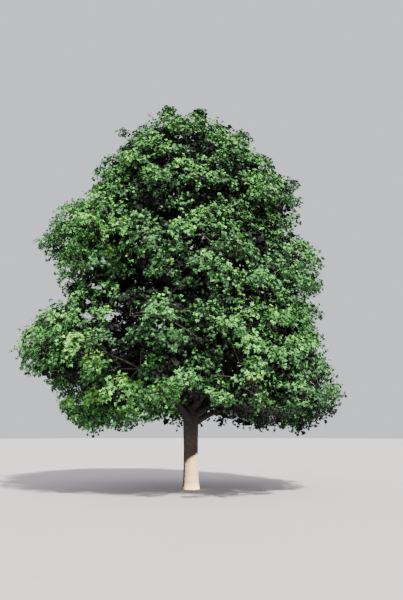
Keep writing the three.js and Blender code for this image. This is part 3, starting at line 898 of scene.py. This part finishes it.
class Clump:
    """An umbrella of leafy shoots that opens upward and out of its mass."""

    def __init__(self, kind, centre, outward, radius, rng, painted_shading=0.0):
        self.rule = CLUMP_KINDS[kind]
        # Painted shading in steps of LEAF_GREENS: the kind's own, darker for hidden and shade clumps, plus
        # the painted light of a bulge and the painted shade of a hollow
        self.painted_shading = self.rule["light"] + painted_shading
        self.kind, self.centre, self.outward, self.radius = kind, centre, outward, radius
        self.fork = centre - UP * FORK_DEPTH * radius
        axis = unit(CLUMP_LEAN * outward + CLUMP_RISE * UP)
        side = unit(np.cross(axis, rng.normal(size=3)))
        basis = np.stack([axis, side, np.cross(axis, side)])
        count = self.rule["shoots"]
        sways = rng.normal(scale=SHOOT_SWAY, size=(count, 3))
        dome = unit(golden_spiral(count, CLUMP_SPREAD, 0.0) @ basis + sways)
        stretch = np.where(rng.random((count, 1)) < LONG_SHOOTS, LONG_SHOOT, 1.0)
        sweep = dome * radius * rng.uniform(SHORTEST_SHOOT, LONGEST_SHOOT, (count, 1)) * stretch
        level_share = np.sum(sweep[:, :2] ** 2, axis=1) / radius**2
        sweep[:, 2] = sweep[:, 2] * CLUMP_SQUASH - CLUMP_DROOP * radius * level_share
        hubs = golden_spiral(self.rule["hubs"], HUB_SPREAD, HUB_TURN) @ basis * radius * HUB_REACH
        nearest = np.argmin(np.linalg.norm(sweep[:, None] - hubs[None], axis=-1), axis=1)
        self.hubs = centre + hubs
        self.starts = self.hubs[nearest]
        self.ends = centre + sweep
        self.headings = unit(self.ends - self.starts)


def drawn_radius(kind, rng):
    """A clump's radius, a little off its kind's own."""
    return CLUMP_KINDS[kind]["radius"] * rng.uniform(1 - RADIUS_SPREAD, 1 + RADIUS_SPREAD)


def crown_at(height):
    """The crown's middle, half-width and half-depth at a height."""
    heights, *reaches = np.array(CROWN_PROFILE).T
    left, right, front = (np.interp(height, heights, reach) for reach in reaches)
    return (right - left) / 2, (right + left) / 2, front


def depth_in_crown(points):
    """How far points lie inside the crown's oval outline, measured level."""
    middle, half_width, half_depth = crown_at(points[..., 2])
    across, back = points[..., 0] - middle, points[..., 1]
    share = np.hypot(across / half_width, back / half_depth)
    return np.where(share > TINY, (1 / np.maximum(share, TINY) - 1) * np.hypot(across, back), half_width)


def seen_at(points):
    """Where points show in the front view, in pixels across and down."""
    offsets = points - CAMERA_PLACE
    tilt = math.radians(CAMERA_TILT)
    ahead = offsets[..., 1] * math.cos(tilt) + offsets[..., 2] * math.sin(tilt)
    above = offsets[..., 2] * math.cos(tilt) - offsets[..., 1] * math.sin(tilt)
    focal = LENS / SENSOR * FRAME_HEIGHT
    return FRAME_WIDTH / 2 + focal * offsets[..., 0] / ahead, FRAME_HEIGHT / 2 - focal * above / ahead


def strongest(features, points):
    """The share of the strongest feature at each point, or at its like in front, and the painted shading it
    gives.
    """
    across, down = seen_at(points * [1, 0, 1] - np.abs(points) * [0, 1, 0])
    x, y, spread, painted_shadings = np.array(features).T
    off_middle = np.hypot(x - across[..., None], y - down[..., None]) / spread
    shares = np.exp(-FEATURE_FADE * off_middle**FEATURE_STEEPNESS)
    return shares.max(axis=-1), painted_shadings[shares.argmax(axis=-1)] * shares.max(axis=-1)


def relief_at(points):
    """How far the crown's surface lies further in, or out below 0, where it faces the front or the back."""
    offsets = points[..., :2] - np.stack([crown_at(points[..., 2])[0], np.zeros(points.shape[:-1])], axis=-1)
    facing = np.abs(offsets[..., 1]) / np.maximum(np.linalg.norm(offsets, axis=-1), LEAST_OFFSET)
    hollow = HOLLOW_DEPTH * strongest(FRONT_HOLLOWS, points)[0]
    bulge = BULGE_HEIGHT * strongest(FRONT_BULGES, points)[0]
    return facing**2 * (hollow - bulge)


def set_in_relief(kind, surface, outward, radius, rng):
    """A clump just inside a point of the surface: out with painted light on a bulge, in with painted shade at
    a hollow.
    """
    painted_shading = strongest(FRONT_BULGES, surface)[1] + strongest(FRONT_HOLLOWS, surface)[1]
    outreach = radius * np.linalg.norm(outward * [1, 1, CLUMP_SQUASH])
    inward = -np.append(unit(outward[:2]), 0)
    centre = surface - outward * outreach + inward * (CLUMP_SETBACK * rng.random() + relief_at(surface))
    return Clump(kind, centre, outward, radius, rng, painted_shading)


def covering_clumps(mass, masses, rng):
    """A mass's clumps away from the crown's surface.

    Hidden ones stand where it meets another mass or faces the trunk, and open ones on its underside.
    """
    clumps = []
    turn = mass.main_directions()[1] + CLUMP_TURN
    for direction in unit(mass.to_tree(golden_spiral(CLUMPS_PER_MASS, CLUMP_REGION, turn))):
        edge = mass.reach(direction[None])[0]
        beyond = (mass.heart + direction * (edge + OPEN_STEP))[None]
        walled = any(other.holds(beyond)[0] for other in masses if other is not mass)
        if walled or direction @ mass.axes[:, 0] < INNER_LEAN:
            radius = drawn_radius("hidden", rng)
            off_heart = max(edge - radius / 2 - CLUMP_SETBACK * rng.random(), HEART_CLEARANCE)
            centre = mass.heart + direction * off_heart
            too_near = max(radius + HIDDEN_DEPTH - depth_in_crown(centre), 0)
            centre = centre - np.append(unit(centre[:2]), 0) * min(too_near, HIDDEN_SHIFT)
            clumps.append(Clump("hidden", centre, direction, radius, rng))
        elif direction[2] < UNDERSIDE:
            surface = mass.heart + direction * edge
            clumps.append(set_in_relief("open", surface, direction, drawn_radius("open", rng), rng))
    return clumps


def shade_clumps(mass, rng):
    """Clumps on both sides of the limb that carries a mass, inside the crown."""
    start, elbow, tip = limb_of(mass)
    points = curves_at(start[None], elbow[None], tip[None], SHADE_SHARES)[0]
    aside = unit(np.cross(UP, tip - start))
    lift = LOWEST_SHADE_LIFT if mass.tier == "lowest" else SHADE_LIFT
    clumps = []
    for place, point in enumerate(points):
        hand = 1 if (place + mass.place) % 2 else -1
        centre = point + hand * SHADE_ASIDE * aside + lift * UP
        outward = unit(hand * aside + SHADE_LEAN * UP)
        clump = Clump("shade", centre, outward, drawn_radius("shade", rng), rng)
        if depth_in_crown(centre + UP * clump.radius) > SHADE_DEPTH:
            clumps.append(clump)
    return clumps


def surface_points():
    """Points spread evenly over the crown's outline, with the way out of the crown at each."""
    heights = np.linspace(CROWN_PROFILE[0][0], CROWN_PROFILE[-1][0], PROFILE_STEPS)
    middle, half_width, half_depth = crown_at(heights)
    slope = np.gradient(half_depth, heights)
    below = np.cumsum(half_width * np.hypot(1, slope))
    shares = (np.arange(SURFACE_POINTS) + 0.5) / SURFACE_POINTS
    found = np.searchsorted(below, shares * below[-1])
    bearings = np.arange(SURFACE_POINTS) * GOLDEN_ANGLE
    level = np.stack([np.cos(bearings), np.sin(bearings), np.zeros(SURFACE_POINTS)], axis=1)
    points = level * np.stack([half_width[found], half_depth[found], np.ones(SURFACE_POINTS)], axis=1)
    points += np.stack([middle[found], np.zeros(SURFACE_POINTS), heights[found]], axis=1)
    return points, unit(level - slope[found][:, None] * UP)


def nearest_in_front(points, pixels):
    """Which of the points on the front shows nearest to a place in the front view."""
    across, down = seen_at(points)
    off = np.hypot(across - pixels[0], down - pixels[1])
    return np.argmin(np.where(points[:, 1] > 0, np.inf, off))


def cover_crown(masses):
    """Adds the listed clumps and open ones all over the crown's surface, each to a mass that is near.

    The bulges come first. Each point has draws of its own, so a change at one leaves the others as they are.
    """
    rng = np.random.default_rng(COVER_SEED)
    centres = [clump.centre for mass in masses for clump in mass.clumps if clump.kind == "open"]
    for kind, place, way, radius in SET_CLUMPS:
        nearest = min(masses, key=lambda mass: np.linalg.norm(place - mass.heart))
        nearest.clumps.append(Clump(kind, np.array(place), way * UP, radius, rng))
        centres.append(place)
    points, ways_out = surface_points()
    on_bulges = [nearest_in_front(points, bulge[:2]) for bulge in FRONT_BULGES]
    for place in [*on_bulges, *rng.permutation(SURFACE_POINTS)]:
        own = np.random.default_rng([COVER_SEED, place])
        point = points[place]
        if point[1] < 0 and own.random() < HOLLOW_THINNING * strongest(FRONT_HOLLOWS, point)[0]:
            continue
        clump = set_in_relief("open", point, ways_out[place], drawn_radius("open", own), own)
        if np.linalg.norm(np.array(centres) - clump.centre, axis=1).min() > SURFACE_SPACING:
            centres.append(clump.centre)
            nearest = min(masses, key=lambda mass: np.linalg.norm(clump.centre - mass.heart) / mass.radii[1])
            nearest.clumps.append(clump)


def in_gaps(points, gaps):
    """Which points show in one of the gaps in the front view."""
    x, y, reach = np.array(gaps).T
    across, down = seen_at(points)
    return np.any(np.hypot(x - across[..., None], y - down[..., None]) < reach, axis=-1)


def within_crown(points, margins):
    """Which points are in the crown with a margin, where one under 0 keeps them clear of the hollows too."""
    low, high = np.array(frame_low) - BOX_MARGIN, np.array(frame_high) + BOX_MARGIN
    below_top = points[:, 2] < CROWN_PROFILE[-1][0] + margins
    relief = relief_at(points)
    deep = depth_in_crown(points) > np.where(margins < 0, relief, np.minimum(relief, 0)) - margins
    return np.all((points > low) & (points < high), axis=-1) & deep & below_top


def kept_inside(start, ends):
    """Ends of twigs drawn back towards their start until the crown's leaves can cover them."""
    for _ in range(TWIG_CUTS):
        ends = np.where(depth_in_crown(ends)[:, None] < TWIG_DEPTH, ends + (start - ends) / TWIG_CUTS, ends)
    return ends


def main_twigs(mass):
    """Where a mass's main twigs end."""
    main = mass.main_directions()[0]
    lengths = TWIG_REACH / np.linalg.norm((main @ mass.axes) / mass.radii, axis=1)
    lengths = np.maximum(np.minimum(lengths, mass.reach(main) - TWIG_CLEARANCE), SHORTEST_TWIG)
    return kept_inside(mass.heart, mass.heart + main * lengths[:, None])


def side_twigs(mass, main_ends):
    """The feet and forks of a mass's side twigs, and the main twigs that carry some.

    A side twig leaves the main twig, or the limb, that passes nearest its clump.
    """
    forks = np.array([clump.fork for clump in mass.clumps])
    start, middle, end = limb_of(mass)
    carriers = np.concatenate([np.repeat(mass.heart[None], len(main_ends), axis=0), [start, middle]])
    vectors = np.concatenate([main_ends, [middle, end]]) - carriers
    offsets = forks[:, None] - carriers
    along = np.clip(np.sum(offsets * vectors, axis=2) / np.sum(vectors**2, axis=1), FIRST_FORK, LAST_FORK)
    feet = carriers + along[..., None] * vectors
    nearest = np.argmin(np.linalg.norm(feet - forks[:, None], axis=-1), axis=1)
    carrying = np.isin(np.arange(len(main_ends)), nearest)
    return feet[np.arange(len(forks)), nearest], forks, main_ends[carrying]


def kept_shoots(clumps):
    """The starts, ends and headings of the shoots that stay inside the crown, and each one's clump."""
    starts, ends, headings = (np.concatenate([getattr(clump, part) for clump in clumps])
                              for part in ("starts", "ends", "headings"))
    owners = np.repeat(np.arange(len(clumps)), [len(clump.ends) for clump in clumps])
    margins = np.array([clump.rule["margin"] for clump in clumps])[owners]
    keep = within_crown(ends, margins - SHOOT_MARGIN) & ~in_gaps(ends, CROWN_GAPS)
    return starts[keep], ends[keep], headings[keep], owners[keep]


def leaves_on(clumps, shoots, rng):
    """The leaves' feet, the ways they point and face, their lengths, and which of them stay in the crown."""
    starts, ends, headings, owners = shoots
    count = len(starts)
    shoot_of = np.repeat(np.arange(count), len(LEAF_SHARES))
    owner = owners[shoot_of]
    usual_lengths, margins = (np.array([clump.rule[part] for clump in clumps])[owner]
                              for part in ("leaf", "margin"))
    outward = np.array([clump.outward for clump in clumps])[owner]
    share = np.tile(LEAF_SHARES, count)[:, None]
    turn = np.tile(LEAF_TURNS, count) + rng.normal(scale=TURN_SPREAD, size=len(shoot_of))
    turn = np.radians(turn)[:, None]
    heading = headings[shoot_of]
    feet = starts[shoot_of] + (ends - starts)[shoot_of] * share

    facing = sum(part * way for part, way in zip(FACING_SHARES, (heading, outward, UP)))
    facing = unit(facing + rng.normal(scale=FACING_SPREAD, size=facing.shape))
    across = unit(np.cross(facing, heading + rng.normal(scale=ACROSS_SPREAD, size=facing.shape)))
    pointing = np.sin(turn) * across + np.cos(turn) * heading - LEAF_SAG * UP
    pointing = unit(pointing - np.sum(pointing * facing, axis=1, keepdims=True) * facing)
    lengths = usual_lengths * rng.uniform(SMALLEST_LEAF, LARGEST_LEAF, len(feet))

    tips = feet + pointing * lengths[:, None] * (1 + LEAF_STALK)
    keep = within_crown(tips, margins)
    for part in (feet, (feet + tips) / 2, tips):
        keep &= ~in_gaps(part + rng.normal(scale=GAP_RAGGEDNESS, size=part.shape), CROWN_GAPS)
    return feet, pointing, facing, lengths, keep


def dealt_greens(clumps, shoots, rng):
    """A green per leaf, dealt out by spray: painted light on top and on the left, painted shade inside and
    below.
    """
    ends, headings, owners = shoots[1:]
    painted_shading = np.array([clump.painted_shading for clump in clumps])[owners]
    # Painted light: shoots that point up are dealt lighter greens
    light = USUAL_LIGHT + PAINTED_LIGHT_UPWARD * headings[:, 2] + rng.normal(scale=SHOOT_LIGHT_SPREAD, size=len(ends))
    light += rng.normal(scale=CLUMP_LIGHT_SPREAD, size=len(clumps))[owners]
    # Painted shade: darker to the right and under the crown, with each clump's painted shading
    below = np.clip(UNDERSIDE_HEIGHT - ends[:, 2], 0, 1)
    light += painted_shading - SHADE_RIGHTWARD * ends[:, 0] - UNDERSIDE_SHADE * below
    light = np.repeat(light, len(LEAF_SHARES))
    light += rng.normal(scale=LEAF_LIGHT_SPREAD, size=len(light))
    return np.clip(np.round(light), 0, len(leaf_materials) - 1)


def grow_mass(mass):
    """The twigs of one mass, each kind as starts and ends, and its leaves."""
    rng = np.random.default_rng(mass.seed + LEAF_SEEDS)
    clumps = mass.clumps
    entry = entry_of(mass)
    feet, forks, main_ends = side_twigs(mass, main_twigs(mass))
    shoots = kept_shoots(clumps)
    *leaves, keep = leaves_on(clumps, shoots, rng)
    leaves.append(dealt_greens(clumps, shoots, rng))
    detailed = np.array([clump.kind == "open" for clump in clumps])[shoots[3]]
    leaves.append(np.repeat(detailed, len(LEAF_SHARES)))
    return {
        "stem": (entry[None], (mass.heart + (mass.heart - entry) * STEM_OVERRUN)[None]),
        "mains": (np.repeat(mass.heart[None], len(main_ends), axis=0), main_ends),
        "laterals": (feet, forks),
        "branchlets": (
            np.concatenate([np.repeat(clump.fork[None], len(clump.hubs), axis=0) for clump in clumps]),
            np.concatenate([clump.hubs for clump in clumps]),
        ),
        "shoots": shoots[:2],
        "leaves": [part[keep] for part in leaves],
    }


def leaf_template(half_outline, with_stalk):
    """A leaf of length 1 from its stalk's foot, keeled along the midrib and drooping towards its tip."""
    half = np.array(half_outline)
    flat = np.concatenate([half, half[-2:0:-1] * [1, -1]])
    lift = LEAF_KEEL * np.abs(flat[:, 1]) - LEAF_DROOP * np.maximum(flat[:, 0], 0) ** 2
    blade = np.column_stack([flat[:, 0] + LEAF_STALK, flat[:, 1], lift])
    corners = len(blade)
    fan = [(0, k + 1, k) for k in range(1, corners - 1)]
    if not with_stalk:
        return blade, np.array(fan)
    stalk = np.array([[0, -LEAF_STALK_WIDTH / 2, 0], [0, LEAF_STALK_WIDTH / 2, 0]])
    return np.concatenate([blade, stalk]), np.array([*fan, (corners, 0, corners + 1)])


def leaf_shapes(template, feet, pointing, facing, lengths):
    """Copies of a leaf, each turned and sized its own way, as one shape."""
    corners, triangles = template
    across = np.cross(facing, pointing)
    basis = np.stack([pointing, across, facing], axis=1) * lengths[:, None, None]
    points = feet[:, None] + np.einsum("vk,nkj->nvj", corners, basis)
    starts = np.arange(len(feet)) * len(corners)
    return points.reshape(-1, 3), (triangles[None] + starts[:, None, None]).reshape(-1, 3)


def make_leaves(name, leaves, template, nodes):
    """One piece of leaves, each with its own green."""
    *placed, greens = leaves
    shape = leaf_shapes(template, *placed)
    face_greens = np.repeat(greens, len(template[1]))
    dress(mesh_piece(name, shape, leaf_materials, face_greens), nodes)


def make_foliage(region, members):
    """A region's twigs, its outer leaves and the plainer ones in their shade, a piece of each."""
    nodes = [f"foliage_{mass.name}" for mass in members]
    grown = [grow_mass(mass) for mass in members]
    twigs = []
    for kind, (sag, first, last, rings, sides) in TWIG_KINDS.items():
        starts, ends = (np.concatenate(part) for part in zip(*(one[kind] for one in grown)))
        twigs.append(tubes(bowed(starts, ends, sag, rings), tapered(len(starts), first, last, rings), sides))
    dress(mesh_piece(f"twigs_{region}", joined(twigs), [TWIG_BARK]), nodes)

    *leaves, outer = (np.concatenate(part) for part in zip(*(one["leaves"] for one in grown)))
    make_leaves(f"leaves_{region}", [part[outer] for part in leaves], OUTER_LEAF, nodes)
    make_leaves(f"shade_leaves_{region}", [part[~outer] for part in leaves], SHADE_LEAF, nodes)


TWIG_BARK = twig_material()
OUTER_LEAF = leaf_template(LEAF_HALF_OUTLINE, True)
SHADE_LEAF = leaf_template(SHADE_HALF_OUTLINE, False)


# Floor, light and camera


def make_floor():
    """A wide floor just under the cut of the trunk."""
    bpy.ops.mesh.primitive_circle_add(vertices=FLOOR_SIDES, radius=FLOOR_RADIUS, fill_type="NGON",
                                      location=FLOOR_CENTRE)
    floor = bpy.context.object
    floor.name = "floor"
    floor.data.materials.append(floor_material())


def make_world():
    """An even fill of light from all round, and a plain pale backdrop for the camera."""
    world = bpy.data.worlds.new("studio")
    bpy.context.scene.world = world
    world.use_nodes = True
    nodes = Nodes(world.node_tree)
    fill = world.node_tree.nodes["Background"]
    nodes.feed(fill.inputs["Color"], FILL_LIGHT)
    nodes.feed(fill.inputs["Strength"], FILL_STRENGTH)
    backdrop = nodes.add("ShaderNodeBackground", {"Color": BACKDROP_GREY, "Strength": BACKDROP_STRENGTH})
    seen = nodes.add("ShaderNodeLightPath").outputs["Is Camera Ray"]
    either = nodes.add("ShaderNodeMixShader", {"Fac": seen})
    nodes.feed(either.inputs[1], fill.outputs["Background"])
    nodes.feed(either.inputs[2], backdrop.outputs["Background"])
    nodes.feed(world.node_tree.nodes["World Output"].inputs["Surface"], either.outputs["Shader"])


def make_light(name, kind, strength, colour):
    light = in_scene(name, bpy.data.lights.new(name, kind))
    light.data.energy = strength
    light.data.color = colour
    return light


def make_key_light():
    """A far light like the sun's, high and a little to the right of the camera's side."""
    key = make_light("key light", "SUN", KEY_STRENGTH, KEY_LIGHT)
    key.data.angle = math.radians(KEY_SOFTNESS)
    key.rotation_euler = (math.radians(90 - KEY_HEIGHT), 0, math.radians(KEY_BEARING))


def make_trunk_lamp():
    """A narrow lamp for the sunlit band on the lower trunk, which lights the bark alone."""
    lamp = make_light("trunk lamp", "SPOT", LAMP_STRENGTH, LAMP_LIGHT)
    lamp.data.shadow_soft_size = LAMP_SIZE
    lamp.data.spot_size = math.radians(LAMP_BEAM)
    lamp.data.spot_blend = LAMP_EDGE
    lamp.location = LAMP_PLACE
    aim = Vector(LAMP_AIM) - lamp.location
    lamp.rotation_euler = aim.to_track_quat("-Z", "Y").to_euler()
    reach = bpy.data.collections.new("lamp reach")
    reach.objects.link(bpy.data.objects["bark"])
    lamp.light_linking.receiver_collection = reach


def make_camera():
    """The photo's own view of the tree."""
    camera = in_scene("camera", bpy.data.cameras.new("camera"))
    camera.data.lens = LENS
    camera.data.sensor_width = SENSOR
    camera.data.clip_end = VIEW_END
    camera.location = CAMERA_PLACE
    camera.rotation_euler = (math.radians(90 + CAMERA_TILT), 0, 0)
    bpy.context.scene.camera = camera


# The tree


def grow_clumps(masses):
    """Gives each mass its clumps, and leaves the view of the trunk's fork open."""
    for mass in masses:
        rng = np.random.default_rng(mass.seed)
        mass.clumps = covering_clumps(mass, masses, rng) + shade_clumps(mass, rng)
    cover_crown(masses)
    for mass in masses:
        mass.clumps = [clump for clump in mass.clumps
                       if clump.centre[1] > FORK_VIEW_BACK or not in_gaps(clump.centre, FORK_VIEW)]


masses = [Mass(name, index, place) for index, (name, tier) in enumerate(TIERS.items())
          for place in range(tier["count"])]
for mass in masses:
    mass.set_walls(masses)
    low, high = (np.array(corner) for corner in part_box(f"foliage_{mass.name}"))
    if not np.all((low < mass.heart) & (mass.heart < high)):
        raise ValueError(f"the heart of {mass.name} isn't inside its solid: the two rules have drifted apart")
grow_clumps(masses)

make_bark(masses)
for region, tiers in REGIONS.items():
    make_foliage(region, [mass for mass in masses if mass.tier in tiers])

make_floor()
make_world()
make_key_light()
make_trunk_lamp()
make_camera()
